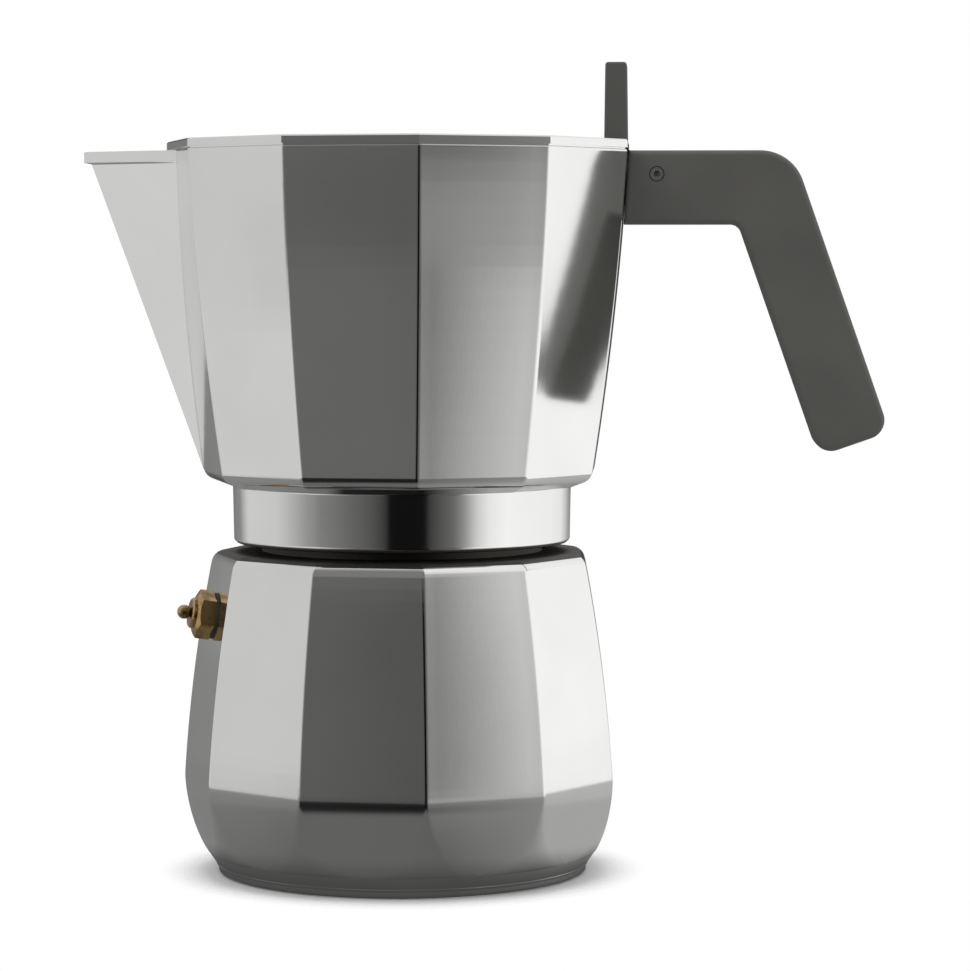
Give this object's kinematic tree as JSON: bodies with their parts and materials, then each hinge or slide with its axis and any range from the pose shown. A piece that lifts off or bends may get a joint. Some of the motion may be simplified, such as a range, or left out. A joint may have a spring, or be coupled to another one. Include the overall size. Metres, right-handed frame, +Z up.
{
  "type": "moka pot",
  "caption": "Stovetop coffee maker with a faceted boiler, a screwed-on faceted vessel with a V spout, an angled side handle and a hinged lid with an upright fin knob.",
  "frame": {"origin": "centre of the base plate's underside, on the pot's axis", "axes": "+Z up the pot's axis, +X along the handle, -X along the spout, +Y to the far side seen with the handle on the right"},
  "size_m": [0.1997, 0.1164, 0.2016],
  "materials": {
    "cast_aluminium": "satin-polished cast aluminium",
    "turned_aluminium": "turned and pressed aluminium",
    "steel": "stainless steel, brushed",
    "brass": "aged brass",
    "handle_plastic": "matt warm grey polyamide",
    "seal_rubber": "pale silicone rubber",
    "washer_fibre": "vulcanised fibre"
  },
  "bodies": {
    "boiler": {"boiler": "cast_aluminium", "base_plate": "steel", "valve_body": "brass", "valve_washer": "washer_fibre", "valve_seat": "brass"},
    "valve_plunger": {"valve_plunger": "brass", "valve_seal": "seal_rubber", "valve_spring": "steel"},
    "funnel": {"funnel": "turned_aluminium", "funnel_sieve": "turned_aluminium"},
    "seal": {"gasket": "seal_rubber", "filter_plate": "turned_aluminium"},
    "vessel": {"upper_vessel": "cast_aluminium", "coffee_column": "turned_aluminium", "column_cap": "turned_aluminium", "handle": "handle_plastic", "hinge_pin": "steel"},
    "lid": {"lid": "cast_aluminium", "lid_knob": "handle_plastic", "knob_screws": "steel"}
  },
  "joints": [
    {"name": "valve_slide", "type": "slide", "parent": "boiler", "child": "valve_plunger", "axis": [-0.9375, -0.3101, 0.1577], "range_m": [0, 0.0015], "stiffness_N_per_m": 800, "springref_m": -0.002},
    {"name": "funnel_lift", "type": "slide", "parent": "boiler", "child": "funnel", "axis": [0, 0, 1], "range_m": [0, 0.0045]},
    {"name": "vessel_rise", "type": "slide", "parent": "boiler", "child": "seal", "axis": [0, 0, 1], "range_m": [0, 0.009]},
    {"name": "vessel_unscrew", "type": "hinge", "parent": "seal", "child": "vessel", "pos_m": [0, 0, 0.09], "axis": [0, 0, 1], "range_deg": [0, 1080]},
    {"name": "lid_hinge", "type": "hinge", "parent": "vessel", "child": "lid", "pos_m": [0.06352, 0, 0.17415], "axis": [0, 1, 0], "range_deg": [0, 93]}
  ],
  "couplings": [
    {"joint": "vessel_rise", "follows": "vessel_unscrew", "m_per_rad": 0.00047746},
    {"joint": "funnel_lift", "follows": "vessel_unscrew", "m_per_rad": 0.00023873}
  ]
}
